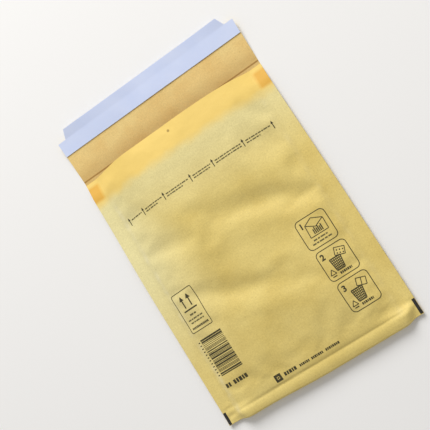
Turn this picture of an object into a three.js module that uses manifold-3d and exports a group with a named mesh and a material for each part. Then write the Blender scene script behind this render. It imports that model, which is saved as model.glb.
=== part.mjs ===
// Padded envelope: a kraft paper pouch lined with bubble film, on its back with mouth and flap open.
// Millimetres, +Z up. X runs across the envelope, Y from the bottom fold to the flap.

import * as THREE from 'three';
import { mergeVertices } from 'three/addons/utils/BufferGeometryUtils.js';
import Module from 'manifold-3d';

// Pouch
const POUCH_WIDTH = 170;
const POUCH_LENGTH = 225; // bottom fold to flap fold
const SEAM_WIDTH = 10; // flat weld down each side
const SEAM_LIFT = 1.6; // underside of the welds above the floor
const SHOULDER = 12; // width over which a wall leaves its weld
const CORNER_INSET = 2; // the flat bottom corners lie behind the roll between them

// Open mouth
const MOUTH_HEIGHT = 18; // crown of the front edge above the floor
const MOUTH_SETBACK = 3; // front edge short of the flap fold
const MOUTH_DRAW_IN = 1; // each side pulled in by the open mouth

// Padded roll at the bottom fold and the crease pressed above it
const ROLL_HEIGHT = 8;
const CREASE_OFFSET = 10; // crease above the bottom fold
const CREASE_HEIGHT = 6; // front of the crease above the floor
const CREASE_UNDERCUT = 0.8; // depth of the same crease in the back
const FRONT_SWELL = 0.45; // power by which the front rises from crease to mouth
const BOTTOM_SQUARENESS = 7; // power of the crown across the roll
const MOUTH_SQUARENESS = 2.4; // power of the crown across the mouth

// Paper and film
const PAPER = 0.2;
const FILM = 3; // film with its bubbles
const FILM_BASE = 0.9; // film between its bubbles
const BUBBLE_PITCH = 12.5;
const BUBBLE_TOP = 7.5; // width of a bubble's flattened top
const WELDED_FILM = 0.7; // both films where the seams weld them flat
const LINER_SETBACK = 15; // film short of the front edge
const BOND_GAP = 0.1; // left between bonded layers

// Flap with its self-seal strip
const FLAP_LENGTH = 37;
const FLAP_LIFT = THREE.MathUtils.degToRad(5);
const ADHESIVE = 0.15;
const ADHESIVE_WIDTH = 9;
const ADHESIVE_MARGIN = 3; // bare paper at each end of the adhesive
const RELEASE = 0.1;
const RELEASE_COVER = 12; // release liner on the flap
const TONGUE = 7.5; // release liner past the flap
const NOTCH = 7.5; // punched away at each end of the tongue
const NOTCH_SLANT = 3.5;

// Dents that handling left in the front, each a valley turned from X
const DENTS = [
  { x: 36, y: 132, length: 42, width: 9, depth: 2, turn: -18 },
  { x: -14, y: 86, length: 34, width: 9, depth: 1.6, turn: -23 },
  { x: -50, y: 144, length: 20, width: 8, depth: 1.2, turn: -15 },
];

// Fineness of the surfaces
const CROWN_STEPS = 6; // from the middle to a shoulder
const SHOULDER_STEPS = 3;
const SEAM_STEPS = 2;
const PANEL_STEPS = 19; // from the film's edge to the crease
const CREASE_STEPS = 3;
const ROLL_STEPS = 4; // from the roll's top to its outermost line
const BARE_STEPS = 2;
const WALL_ROWS = PANEL_STEPS + CREASE_STEPS + ROLL_STEPS + 1;

// Places worked out from the sizes
const halfWidth = POUCH_WIDTH / 2;
const openHalf = halfWidth - SEAM_WIDTH;
const mouthY = POUCH_LENGTH - MOUTH_SETBACK;
const linerY = mouthY - LINER_SETBACK;
const rollTopY = CREASE_OFFSET / 2;
const { lerp, smoothstep } = THREE.MathUtils;

const wasm = await Module();
wasm.setup();

// 0 on the welds, 1 a shoulder's width inside them
function awayFromSeam(x) {
  return smoothstep(openHalf - Math.abs(x), 0, SHOULDER);
}

// 1 where film lies between the papers, 0 where bare paper meets bare paper at the mouth
function lined(y) {
  return 1 - smoothstep(y, linerY, mouthY);
}

function seamThickness(y) {
  return 2 * PAPER + BOND_GAP + (WELDED_FILM + BOND_GAP) * lined(y);
}

// Outside of the back panel above the floor
function backHeight(x, y) {
  const lift = SEAM_LIFT * lined(y) * (1 - awayFromSeam(x));
  const fromCrease = Math.abs(y - CREASE_OFFSET) / rollTopY;
  const crease = CREASE_UNDERCUT * (1 - smoothstep(fromCrease, 0, 1)) * awayFromSeam(x);
  return lift + crease;
}

// Front panel along the middle of the envelope
function middleHeight(y) {
  if (y < CREASE_OFFSET) {
    return lerp(ROLL_HEIGHT, CREASE_HEIGHT, smoothstep(y, rollTopY, CREASE_OFFSET));
  }
  const climb = (y - CREASE_OFFSET) / (mouthY - CREASE_OFFSET);
  return lerp(CREASE_HEIGHT, MOUTH_HEIGHT, climb ** FRONT_SWELL);
}

function dentDepth(x, y) {
  let depth = 0;
  for (const dent of DENTS) {
    const turn = THREE.MathUtils.degToRad(dent.turn);
    const along = (x - dent.x) * Math.cos(turn) + (y - dent.y) * Math.sin(turn);
    const aside = (y - dent.y) * Math.cos(turn) - (x - dent.x) * Math.sin(turn);
    depth += dent.depth * Math.exp(-((along / dent.length) ** 2) - (aside / dent.width) ** 2);
  }
  return depth * awayFromSeam(x);
}

// Outside of the front panel above the floor
function frontHeight(x, y) {
  const seamTop = SEAM_LIFT * lined(y) + seamThickness(y);
  const squareness = lerp(BOTTOM_SQUARENESS, MOUTH_SQUARENESS, y / mouthY);
  const crown = 1 - Math.min(Math.abs(x) / openHalf, 1) ** squareness;
  return seamTop + (middleHeight(y) - seamTop) * crown - dentDepth(x, y);
}

// Width lost by the time a line across the sheet reaches y
function drawnIn(x, y) {
  const pull = MOUTH_DRAW_IN * smoothstep(y, POUCH_LENGTH / 2, POUCH_LENGTH);
  return x * (1 - pull / halfWidth);
}

function evenStops(start, end, steps) {
  return Array.from({ length: steps + 1 }, (_, i) => lerp(start, end, i / steps));
}

// Stops from one side edge to the other, closer together where the walls bend
function acrossStops() {
  const half = [
    ...evenStops(0, openHalf - SHOULDER, CROWN_STEPS),
    ...evenStops(openHalf - SHOULDER, openHalf, SHOULDER_STEPS).slice(1),
    ...evenStops(openHalf, halfWidth, SEAM_STEPS).slice(1),
  ];
  return [...half.slice(1).reverse().map((x) => -x), ...half];
}

// Lines across one wall from the film's edge to the outermost line of the bottom roll.
// side is 1 for the front and -1 for the back.
function wallRows(stops, side) {
  const height = side > 0 ? frontHeight : backHeight;
  const panel = evenStops(1, 0, PANEL_STEPS);
  const crease = evenStops(1, 0, CREASE_STEPS).slice(1);
  const roll = evenStops(0, Math.PI / 2, ROLL_STEPS).slice(1);
  const point = (x, y, z) => new THREE.Vector3(drawnIn(x, y), y, z);
  const rollTop = (x) => lerp(CORNER_INSET + seamThickness(0) / 2, rollTopY, awayFromSeam(x));
  const creaseAt = (x) => rollTop(x) + CREASE_OFFSET - rollTopY;
  const onPanel = (x, t) => lerp(creaseAt(x), linerY, t);
  const onCrease = (x, t) => lerp(rollTop(x), creaseAt(x), t);
  const onWall = (x, y) => point(x, y, height(x, y));
  const onRoll = (x, angle) => {
    const centreY = rollTop(x);
    const reach = centreY - CORNER_INSET * (1 - awayFromSeam(x));
    const low = backHeight(x, centreY);
    const high = frontHeight(x, centreY);
    const y = centreY - reach * Math.sin(angle);
    return point(x, y, (high + low) / 2 + (side * (high - low) * Math.cos(angle)) / 2);
  };
  return [
    ...panel.map((t) => stops.map((x) => onWall(x, onPanel(x, t)))),
    ...crease.map((t) => stops.map((x) => onWall(x, onCrease(x, t)))),
    ...roll.map((angle) => stops.map((x) => onRoll(x, angle))),
  ];
}

// Lines across the bare paper between the film's edge and a free edge or fold at y
function bareRows(stops, height, y) {
  const places = evenStops(linerY, y, BARE_STEPS).slice(1);
  return places.map((at) => stops.map((x) => new THREE.Vector3(drawnIn(x, at), at, height(x, at))));
}

// Moves each point of a sheet towards its inner side, which lies along across x along
function inset(rows, depth) {
  const last = rows.length - 1;
  return rows.map((row, r) => row.map((point, c) => {
    const across = row[Math.min(c + 1, row.length - 1)].clone().sub(row[Math.max(c - 1, 0)]);
    const along = rows[Math.min(r + 1, last)][c].clone().sub(rows[Math.max(r - 1, 0)][c]);
    return point.clone().addScaledVector(across.cross(along).normalize(), depth);
  }));
}

// Closed solid between two nets of points with as many rows and columns each
function solidBetween(outer, inner) {
  const rows = outer.length;
  const columns = outer[0].length;
  const points = [...outer.flat(), ...inner.flat()];
  const out = (r, c) => r * columns + c;
  const inn = (r, c) => rows * columns + out(r, c);
  const triangles = [];
  const apart = (a, b) => points[a].distanceTo(points[b]);
  // Split along the shorter diagonal, so that nets that lie on each other bend alike
  const quad = (a, b, c, d) => {
    if (apart(a, c) < apart(b, d)) {
      triangles.push([a, b, c], [a, c, d]);
    } else {
      triangles.push([a, b, d], [b, c, d]);
    }
  };
  for (let r = 0; r + 1 < rows; r++) {
    for (let c = 0; c + 1 < columns; c++) {
      quad(out(r, c), out(r + 1, c), out(r + 1, c + 1), out(r, c + 1));
      quad(inn(r, c), inn(r, c + 1), inn(r + 1, c + 1), inn(r + 1, c));
    }
    quad(out(r + 1, 0), out(r, 0), inn(r, 0), inn(r + 1, 0));
    quad(out(r, columns - 1), out(r + 1, columns - 1), inn(r + 1, columns - 1), inn(r, columns - 1));
  }
  for (let c = 0; c + 1 < columns; c++) {
    quad(out(0, c), out(0, c + 1), inn(0, c + 1), inn(0, c));
    quad(out(rows - 1, c + 1), out(rows - 1, c), inn(rows - 1, c), inn(rows - 1, c + 1));
  }
  return closedGeometry(points, triangles);
}

// Merges points that meet and leaves out triangles that lose a side by it
function closedGeometry(points, triangles) {
  const loose = new THREE.BufferGeometry().setFromPoints(points);
  loose.setIndex(triangles.flat());
  const merged = mergeVertices(loose);
  const index = merged.index.array;
  const kept = [];
  for (let i = 0; i < index.length; i += 3) {
    const [a, b, c] = index.slice(i, i + 3);
    if (a !== b && b !== c && c !== a) {
      kept.push(a, b, c);
    }
  }
  merged.setIndex(kept);
  merged.computeVertexNormals();
  return merged;
}

function toManifold(geometry) {
  const vertProperties = new Float32Array(geometry.attributes.position.array);
  const triVerts = new Uint32Array(geometry.index.array);
  return new wasm.Manifold(new wasm.Mesh({ numProp: 3, vertProperties, triVerts }));
}

function toGeometry(manifold) {
  const mesh = manifold.getMesh();
  const geometry = new THREE.BufferGeometry();
  geometry.setAttribute('position', new THREE.BufferAttribute(mesh.vertProperties, 3));
  geometry.setIndex(new THREE.BufferAttribute(mesh.triVerts, 1));
  geometry.computeVertexNormals();
  return geometry;
}

// Outside of the one folded sheet: front edge, front, bottom roll, back, flap fold and flap
function sheetOutside() {
  const stops = acrossStops();
  const flapEndY = POUCH_LENGTH + FLAP_LENGTH * Math.cos(FLAP_LIFT);
  const flapEndZ = FLAP_LENGTH * Math.sin(FLAP_LIFT);
  return [
    ...bareRows(stops, frontHeight, mouthY).reverse(),
    ...wallRows(stops, 1),
    ...wallRows(stops, -1).reverse().slice(1),
    ...bareRows(stops, backHeight, POUCH_LENGTH),
    stops.map((x) => new THREE.Vector3(x, flapEndY, flapEndZ)),
  ];
}

function kraftSheet() {
  const outside = sheetOutside();
  return solidBetween(outside, inset(outside, PAPER));
}

// Point on the inner face of one film, which is never thicker than the walls leave room for.
// side is 1 for the front and -1 for the back.
function onFilm(x, y, thickness, side) {
  const low = backHeight(x, y) + PAPER + BOND_GAP;
  const high = frontHeight(x, y) - PAPER - BOND_GAP;
  const room = high - low;
  const film = thickness * (1 - Math.exp(-room / (2 * thickness)));
  const open = awayFromSeam(x) * smoothstep(y, CREASE_OFFSET, CREASE_OFFSET + SHOULDER);
  return new THREE.Vector3(drawnIn(x, y), y, (low + high) / 2 + side * (room / 2 - film) * open);
}

// Space inside the film, from the crease to past the film's edge. Both walls share one brick pattern
// of cells, with a bubble in each whole cell, and they meet along the seams and the crease.
function pouchSpace() {
  const columns = Math.round((2 * openHalf) / BUBBLE_PITCH);
  const bubbleRows = Math.round((linerY - CREASE_OFFSET) / (BUBBLE_PITCH * Math.sin(Math.PI / 3)));
  const across = evenStops(-openHalf, openHalf, 2 * columns);
  const along = [...evenStops(CREASE_OFFSET, linerY, bubbleRows), mouthY];
  const places = along.flatMap((y) => across.map((x) => [x, y, FILM_BASE]));
  const at = (row, stop) => row * across.length + stop;
  const cells = [];

  const bubble = (row, stop) => {
    const foot = [0, 1, 2].map((i) => at(row, stop + i));
    const head = [2, 1, 0].map((i) => at(row + 1, stop + i));
    const rim = [...foot, ...head];
    const centreX = across[stop + 1];
    const centreY = (along[row] + along[row + 1]) / 2;
    const top = rim.map((_, i) => places.length + i);
    rim.forEach((_, i) => {
      const angle = (i * Math.PI) / 3 - (5 * Math.PI) / 6;
      const x = centreX + (BUBBLE_TOP / 2) * Math.cos(angle);
      places.push([x, centreY + (BUBBLE_TOP / 2) * Math.sin(angle), FILM]);
    });
    rim.forEach((_, i) => {
      const next = (i + 1) % rim.length;
      cells.push([rim[i], rim[next], top[next]], [rim[i], top[next], top[i]]);
    });
    for (let i = 1; i + 1 < top.length; i++) {
      cells.push([top[0], top[i], top[i + 1]]);
    }
  };
  const plain = (row, stop) => {
    const corner = at(row + 1, stop + 1);
    cells.push([at(row, stop), at(row, stop + 1), corner], [at(row, stop), corner, at(row + 1, stop)]);
  };

  for (let row = 0; row < bubbleRows; row++) {
    const shift = row % 2;
    for (let stop = shift; stop + 2 < across.length; stop += 2) {
      bubble(row, stop);
    }
    if (shift) {
      plain(row, 0);
      plain(row, across.length - 2);
    }
  }
  for (let stop = 0; stop + 1 < across.length; stop++) {
    plain(bubbleRows, stop);
  }

  const points = [1, -1].flatMap((side) => places.map(([x, y, film]) => onFilm(x, y, film, side)));
  const under = (i) => places.length + i;
  const triangles = cells.flatMap(([a, b, c]) => [[a, b, c], [under(a), under(c), under(b)]]);
  for (let stop = 0; stop + 1 < across.length; stop++) {
    const [a, b] = [at(bubbleRows + 1, stop), at(bubbleRows + 1, stop + 1)];
    triangles.push([under(b), under(a), a], [under(b), a, b]);
  }
  return closedGeometry(points, triangles);
}

// Bubble film folded at the bottom and welded down both sides, on the lined part of the sheet
function bubbleLiner() {
  const flatSide = inset(sheetOutside(), PAPER + BOND_GAP);
  const front = flatSide.slice(BARE_STEPS, BARE_STEPS + WALL_ROWS);
  const back = flatSide.slice(BARE_STEPS + WALL_ROWS - 1).slice(0, WALL_ROWS).reverse();
  const filled = toManifold(solidBetween(front, back));
  return toGeometry(filled.subtract(toManifold(pouchSpace())));
}

function plate(outline, thickness) {
  const shape = new THREE.Shape(outline.map(([x, y]) => new THREE.Vector2(x, y)));
  return new THREE.ExtrudeGeometry(shape, { depth: thickness, bevelEnabled: false });
}

// Self-seal band in the middle of what the release liner covers, Y from the flap fold
function adhesiveStrip() {
  const half = halfWidth - ADHESIVE_MARGIN;
  const centre = FLAP_LENGTH - RELEASE_COVER / 2;
  const near = centre - ADHESIVE_WIDTH / 2;
  const far = centre + ADHESIVE_WIDTH / 2;
  return plate([[-half, near], [half, near], [half, far], [-half, far]], ADHESIVE);
}

// Release liner with its ends punched away past the flap, Y from the flap fold
function releaseLiner() {
  const near = FLAP_LENGTH - RELEASE_COVER;
  const tip = FLAP_LENGTH + TONGUE;
  const root = halfWidth - NOTCH;
  const right = [[halfWidth, near], [halfWidth, FLAP_LENGTH], [root, FLAP_LENGTH], [root - NOTCH_SLANT, tip]];
  const left = right.map(([x, y]) => [-x, y]).reverse();
  return plate([...right, ...left], RELEASE);
}

function piece(name, geometry, finish) {
  const mesh = new THREE.Mesh(geometry, new THREE.MeshStandardMaterial(finish));
  mesh.name = name;
  return mesh;
}

const kraft = piece('kraft_envelope', kraftSheet(), { color: 0xd8bf77, roughness: 0.75, metalness: 0 });
const liner = piece('bubble_liner', bubbleLiner(), { color: 0xe6e8e6, roughness: 0.25, metalness: 0 });
const adhesive = piece('adhesive_strip', adhesiveStrip(), { color: 0xe9dfc0, roughness: 0.35, metalness: 0 });
const release = piece('release_liner', releaseLiner(), { color: 0xf1f3f7, roughness: 0.45, metalness: 0 });

// Layers of the flap, stacked on its inner side
const flap = new THREE.Group();
flap.position.y = POUCH_LENGTH;
flap.rotation.x = FLAP_LIFT;
adhesive.position.z = PAPER + BOND_GAP;
release.position.z = adhesive.position.z + ADHESIVE + BOND_GAP;
flap.add(adhesive, release);

// The origin is on the floor, under the middle of the envelope's outline
const group = new THREE.Group();
group.add(kraft, liner, flap);
const box = new THREE.Box3().setFromObject(group);
group.position.set(0, -(box.min.y + box.max.y) / 2, -box.min.z);

export default group;
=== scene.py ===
"""Padded envelope of kraft paper with a bubble film lining, on its back with its mouth and flap open.

Metres, +Z up. X runs across the envelope and Y from the bottom fold to the flap, as in the loaded frame.
"""

import math
import random
from functools import partial
from itertools import cycle

import bpy
import numpy as np
from bpy.props import FloatProperty, FloatVectorProperty, PointerProperty
from mathutils import Matrix, Vector, noise


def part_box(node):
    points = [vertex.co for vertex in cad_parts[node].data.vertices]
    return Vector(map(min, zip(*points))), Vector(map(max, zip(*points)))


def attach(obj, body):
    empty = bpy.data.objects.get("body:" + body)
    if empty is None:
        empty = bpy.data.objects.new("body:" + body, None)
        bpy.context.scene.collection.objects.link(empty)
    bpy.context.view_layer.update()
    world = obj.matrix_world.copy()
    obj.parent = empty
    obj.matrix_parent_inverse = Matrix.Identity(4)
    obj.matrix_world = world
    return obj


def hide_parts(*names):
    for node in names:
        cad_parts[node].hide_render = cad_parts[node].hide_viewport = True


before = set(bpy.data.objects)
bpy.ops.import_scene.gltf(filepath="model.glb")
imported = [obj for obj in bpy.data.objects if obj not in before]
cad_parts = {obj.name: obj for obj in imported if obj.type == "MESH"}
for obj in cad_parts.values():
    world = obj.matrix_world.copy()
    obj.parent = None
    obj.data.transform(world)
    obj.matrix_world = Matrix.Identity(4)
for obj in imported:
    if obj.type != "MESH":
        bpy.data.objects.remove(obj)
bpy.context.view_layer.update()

bl_info = {
    "name": "Padded Envelope",
    "version": (1, 0, 0),
    "blender": (4, 5, 0),
    "location": "3D View > Sidebar > Envelope",
    "description": "Builds an open padded envelope of kraft paper, film, seal strip and print on its frame",
    "category": "Add Mesh",
}

MM = 0.001
BODY = "root"
PAPER_LOW, PAPER_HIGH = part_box("kraft_envelope")
BOTTOM_FOLD_Y = PAPER_LOW[1]


def linear(code):
    """Linear RGBA of an sRGB hex colour."""
    levels = [int(code[i:i + 2], 16) / 255 for i in (1, 3, 5)]
    return [c / 12.92 if c <= 0.04045 else ((c + 0.055) / 1.055) ** 2.4 for c in levels] + [1.0]


def length(name, millimetres, description):
    """Length property of a settings group."""
    return FloatProperty(name=name, description=description, default=millimetres * MM, unit="LENGTH")


def tint(name, code, description):
    """Colour property of a settings group."""
    return FloatVectorProperty(
        name=name, description=description, default=linear(code), subtype="COLOR", size=4, min=0, max=1
    )


def number(name, value, description):
    """Plain number of a settings group."""
    return FloatProperty(name=name, description=description, default=value)


def angle(name, degrees, description):
    """Angle property of a settings group."""
    return FloatProperty(name=name, description=description, default=math.radians(degrees), unit="ROTATION")


def point(name, place, description):
    """Place property of a settings group, in metres."""
    return FloatVectorProperty(name=name, description=description, default=place, subtype="TRANSLATION")


class PaperSettings(bpy.types.PropertyGroup):
    """Sizes and colours of the folded kraft sheet."""

    width: length("Width", (PAPER_HIGH[0] - PAPER_LOW[0]) / MM, "Side edge to side edge")
    pouch_length: length("Pouch length", 225, "Bottom fold to flap fold")
    seam_width: length("Seam width", 10, "Flat weld down each side")
    seam_lift: length("Seam lift", 1.6, "Underside of the welds above the floor")
    shoulder: length("Shoulder", 12, "Width over which a wall leaves its weld")
    corner_inset: length("Corner inset", 2, "Flat bottom corners behind the roll between them")
    mouth_height: length("Mouth height", PAPER_HIGH[2] / MM, "Crown of the front edge above the floor")
    mouth_setback: length("Mouth setback", 3, "Front edge short of the flap fold")
    mouth_draw_in: length("Mouth draw-in", 1, "Each side pulled in by the open mouth")
    roll_height: length("Roll height", 6.2, "Padded roll at its outer edge")
    roll_edge: length("Roll edge", 2, "Flat top of the roll behind its outermost line")
    roll_end: length("Roll end", 7, "Width over which the roll is pinched flat at a corner")
    crease_offset: length("Crease offset", 11.7, "Crease above the bottom fold")
    crease_height: length("Crease height", 7, "Front of the crease above the floor")
    crease_undercut: length("Crease undercut", 0.8, "Depth of the same crease in the back")
    lining_setback: length("Lining setback", 15, "Film short of the front edge")
    flap_length: length("Flap length", 37, "Flap fold to the flap's end")
    flap_lift: angle("Flap lift", 5, "Angle of the flap above the floor")
    thickness: length("Thickness", 0.2, "Paper thickness")
    cell: length("Cell", 3, "Side of one face of the sheet before it is subdivided")
    slack: number("Slack", 0.0055, "Share by which the front is longer than its seams")
    gold: tint("Gold", "#e5cd7b", "Kraft paper in the light")
    ochre: tint("Ochre", "#dac06c", "Darker clouds in the paper")
    # Partly painted light: a paler, greyer tone that also brightens the left side and the upper front against
    # their shade
    pale: tint("Pale", "#ece2aa", "Greyer side of the sheet")
    inside: tint("Inside", "#f2d48b", "Inner side of the paper")
    inside_ochre: tint("Inside ochre", "#e9c277", "Darker clouds on the inner side")
    # Painted highlight: pale patches along the inner edges of the welds, strongest to the left
    weld: tint("Weld line", "#eee5bf", "Pale paper along the inner edges of the welds")
    band: tint("Glue band", "#f4cf6b", "Paper over the glue at the mouth")
    glue: tint("Glue corner", "#dca335", "Glue soaked into the mouth corners")
    # Painted shade: colour of the dark line along the flap fold and of the shade before it and inside the pouch
    score: tint("Score", "#a97f3e", "Flap fold on the inner side")
    spot: tint("Spot", "#8a6a2c", "Small brown spot under the mouth edge")


class FilmSettings(bpy.types.PropertyGroup):
    """Sizes and colour of the bubble film."""

    bubble: length("Bubble", 10, "Width of one bubble")
    pitch: length("Pitch", 12.5, "Bubble to bubble")
    height: length("Height", 3, "Film with its bubbles")
    gauge: length("Gauge", 0.08, "Thickness of the film itself")
    edge: length("Edge", 1, "Film short of the side edges")
    cell: length("Cell", 1.4, "Side of one face of the film")
    clear: tint("Clear film", "#eef2f2", "Clear polyethylene")


class StripSettings(bpy.types.PropertyGroup):
    """Sizes and colours of the self-seal strip and its release paper."""

    gap: length("Bond gap", 0.1, "Left between bonded layers")
    adhesive: length("Adhesive", 0.15, "Thickness of the adhesive")
    adhesive_width: length("Adhesive width", 9, "Adhesive along the flap")
    adhesive_margin: length("Adhesive margin", 3, "Bare paper at each end of the adhesive")
    release: length("Release paper", 0.1, "Thickness of the release paper")
    cover: length("Cover", 12, "Release paper on the flap")
    tongue: length("Tongue", 7.5, "Release paper past the flap")
    notch: length("Notch", 7.5, "Punched away at each end of the tongue")
    slant: length("Slant", 3.5, "Slant of each end of the tongue")
    # Painted light: the blue cast of the white and of its shade stands in for cool light on white paper
    white: tint("White", "#dde5fb", "Siliconed white paper")
    shade: tint("White shade", "#c9d5f5", "Cooler clouds in the white paper")
    hot_melt: tint("Hot melt", "#e9dfc0", "Pale adhesive")


class PrintSettings(bpy.types.PropertyGroup):
    """Sizes and colours of the print."""

    line: length("Line", 0.55, "Width of a printed line")
    step: length("Step", 1.6, "Longest printed face, so that print follows the paper")
    lift: length("Lift", 0.04, "Print above the paper")
    film: length("Film", 0.02, "Thickness of the ink")
    ink: tint("Ink", "#383217", "Olive black ink")
    thin_ink: tint("Thin ink", "#5a5027", "Ink where the paper shows through")
    type_ink: tint("Type ink", "#615830", "Small type, which prints lighter")
    type_thin: tint("Thin type ink", "#7d7446", "Small type where the paper shows through")
    edge_black: tint("Edge black", "#1d1a1c", "Black marks at the bottom corners")


class StageSettings(bpy.types.PropertyGroup):
    """Camera, light and floor."""

    eye: point("Eye", (0.1407, -0.0671, 0.6348), "Place of the camera")
    aim: point("Aim", (-0.0077, 0.0111, 0), "Point in the middle of the picture")
    heading: angle("Heading", 33.09, "Picture's up, turned from +Y to +X")
    lens: number("Lens", 71.94, "Focal length in millimetres")
    floor: tint("Floor", "#f1efec", "Plain pale floor")
    floor_size: length("Floor size", 6000, "Side of the floor")
    key_place: point("Key place", (0.08, 2.07, 1.37), "Softbox beyond the flap")
    key_size: length("Key size", 1600, "Width of the softbox")
    key_power: number("Key power", 64.5, "Light of the softbox in watts")
    fill: number("Fill", 0.43, "Strength of the light from all round")


def smoothstep(value, low, high):
    """0 below low, 1 above high and smooth between."""
    t = np.clip((value - low) / (high - low), 0, 1)
    return t * t * (3 - 2 * t)


def lerp(start, end, t):
    return start + (end - start) * t


def waves(across, along, size, seed):
    """Smooth noise from about -1 to 1, with bumps of about the given size."""
    pairs = zip(np.ravel(across / size), np.ravel(along / size))
    return np.array([noise.noise(Vector((a, b, seed))) for a, b in pairs])


# Dents that handling left in the front, in millimetres and degrees. At power 1, a dent has a sharp bottom.
DENTS = [
    {"x": 36, "y": 132, "length": 42, "width": 9, "depth": 2, "turn": -18, "power": 2},
    {"x": -14, "y": 86, "length": 34, "width": 9, "depth": 1.6, "turn": -23, "power": 2},
    {"x": -50, "y": 144, "length": 20, "width": 8, "depth": 1.2, "turn": -15, "power": 2},
    {"x": 66, "y": 18, "length": 9, "width": 3.5, "depth": 1.1, "turn": 8, "power": 2},
    {"x": 62, "y": 121, "length": 13, "width": 3, "depth": 1.3, "turn": 3, "power": 1},
]


class Pouch:
    """Form of the folded sheet. Y is taken from the bottom fold, and run along the sheet from the flap's end."""

    # Shares of a cell from line to line on the flap, back, roll's edge, roll's top, climb and panel
    FINENESS = (1, 1, 0.3, 0.35, 0.5, 1)
    # Panel above the crease that still bends with it
    CLIMB = 12 * MM
    # Powers of the panel's rise to the mouth, of its section at either end, and of the roll's section
    FRONT_SWELL = 0.45
    BOTTOM_SQUARENESS = 7
    MOUTH_SQUARENESS = 2.4
    ROLL_SQUARENESS = 0.9
    # Shares of the crease's offset between which the roll's section turns into the panel's
    OVER_CREASE = (0.7, 1.4)
    # What round corners save on the way round the roll, in shares of its edge, and the bulge of its top
    CORNER_CUT = 0.6
    ROLL_BULGE = 0.8 * MM
    # Outermost line of the roll behind the bottom fold, and how much more it is drawn in towards the left
    DRAW_IN = 0.6 * MM
    LEFT_DRAW_IN = 1.7 * MM
    LEFT_DRAW_SPAN = (-5 * MM, 50 * MM)
    # Millimetres from the side edges at which the roll is flat, at its outermost line and at its crease
    LEFT_ROLL_END = (12, 8)
    RIGHT_ROLL_END = (8, 1)
    # Thickness of the welds in papers, bare and added by film, and the share by which their underside sways
    BARE_WELD = 2.5
    FILM_IN_WELD = 4
    WELD_SWAY = 0.45
    # Widths from the middle at which each weld takes its noise
    WELD_NOISE = 3

    def __init__(self, paper):
        self.paper = paper
        self.half = paper.width / 2
        self.open_half = self.half - paper.seam_width
        self.mouth_y = paper.pouch_length - paper.mouth_setback
        self.lining_y = self.mouth_y - paper.lining_setback
        self.roll_top_y = paper.roll_edge
        self.back_run = paper.pouch_length - self.roll_top_y
        self.roll_run = 2 * self.roll_top_y + paper.roll_height - self.CORNER_CUT * self.roll_top_y
        self.front_run = self.mouth_y - self.roll_top_y
        self.roll_start = paper.flap_length + self.back_run
        self.front_start = self.roll_start + self.roll_run
        self.crease_run = self.front_start + paper.crease_offset - self.roll_top_y
        self.climb_run = self.crease_run + self.CLIMB
        self.length = self.front_start + self.front_run
        seams = (-self.half, -self.open_half, self.open_half, self.half)
        self.across = self.stops(seams, (1, 1, 1))
        bends = (paper.flap_length, self.roll_start, self.front_start, self.crease_run, self.climb_run)
        self.along = self.stops((0, *bends, self.length), self.FINENESS)

    def stops(self, zones, shares):
        """Lines of the sheet, evenly spaced between the ends of each zone, in shares of a cell."""
        lines = [zones[:1]]
        for start, end, share in zip(zones, zones[1:], shares):
            count = math.ceil((end - start) / (share * self.paper.cell))
            lines.append(np.linspace(start, end, count + 1)[1:])
        return np.concatenate(lines)

    def away_from_seam(self, x):
        return smoothstep(self.open_half - np.abs(x), 0, self.paper.shoulder)

    def bottom_line(self, x):
        """Outermost line of the roll, which is drawn in to the left."""
        return self.DRAW_IN + self.LEFT_DRAW_IN * smoothstep(-x, *self.LEFT_DRAW_SPAN)

    def on_roll(self, x, y):
        """1 on the padded roll, 0 at its pinched ends, which run out at a slant."""
        share = np.clip(y / self.paper.crease_offset, 0, 1)
        left, right = lerp(*self.LEFT_ROLL_END, share), lerp(*self.RIGHT_ROLL_END, share)
        end = MM * np.where(x < 0, left, right)
        return smoothstep(self.half - np.abs(x), end, end + self.paper.roll_end)

    def lined(self, y):
        """1 where film lies between the papers, 0 where bare paper meets bare paper at the mouth."""
        return 1 - smoothstep(y, self.lining_y, self.mouth_y)

    def seam_bottom(self, x, y):
        """Underside of the welds, which never lie quite straight."""
        sway = waves(np.sign(x) * self.WELD_NOISE * self.paper.width, y, size=45 * MM, seed=2.7)
        return self.paper.seam_lift * self.lined(y) * (1 + self.WELD_SWAY * sway)

    def seam_thickness(self, y):
        bare = self.BARE_WELD * self.paper.thickness
        return bare + self.FILM_IN_WELD * self.paper.thickness * self.lined(y)

    def back_height(self, x, y):
        away = self.away_from_seam(x)
        from_crease = np.abs(y - self.paper.crease_offset) / self.roll_top_y
        crease = self.paper.crease_undercut * (1 - smoothstep(from_crease, 0, 1)) * away
        return self.seam_bottom(x, y) * (1 - away) + crease

    def middle_height(self, y):
        """Front panel along the middle of the envelope."""
        p = self.paper
        back = np.clip((p.crease_offset - y) / (p.crease_offset - self.roll_top_y), 0, 1)
        roll = lerp(p.crease_height, p.roll_height, back) + 4 * self.ROLL_BULGE * back * (1 - back)
        climb = np.clip((y - p.crease_offset) / (self.mouth_y - p.crease_offset), 0, 1)
        panel = lerp(p.crease_height, p.mouth_height, climb ** self.FRONT_SWELL)
        return np.where(y < p.crease_offset, roll, panel)

    def dent_depth(self, x, y):
        depth = np.zeros_like(x)
        for dent in DENTS:
            turn = math.radians(dent["turn"])
            over, up = x / MM - dent["x"], y / MM - dent["y"]
            along = over * math.cos(turn) + up * math.sin(turn)
            aside = up * math.cos(turn) - over * math.sin(turn)
            fall = (along / dent["length"]) ** 2 + np.abs(aside / dent["width"]) ** dent["power"]
            depth += dent["depth"] * MM * np.exp(-fall)
        return depth * self.away_from_seam(x)

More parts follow.
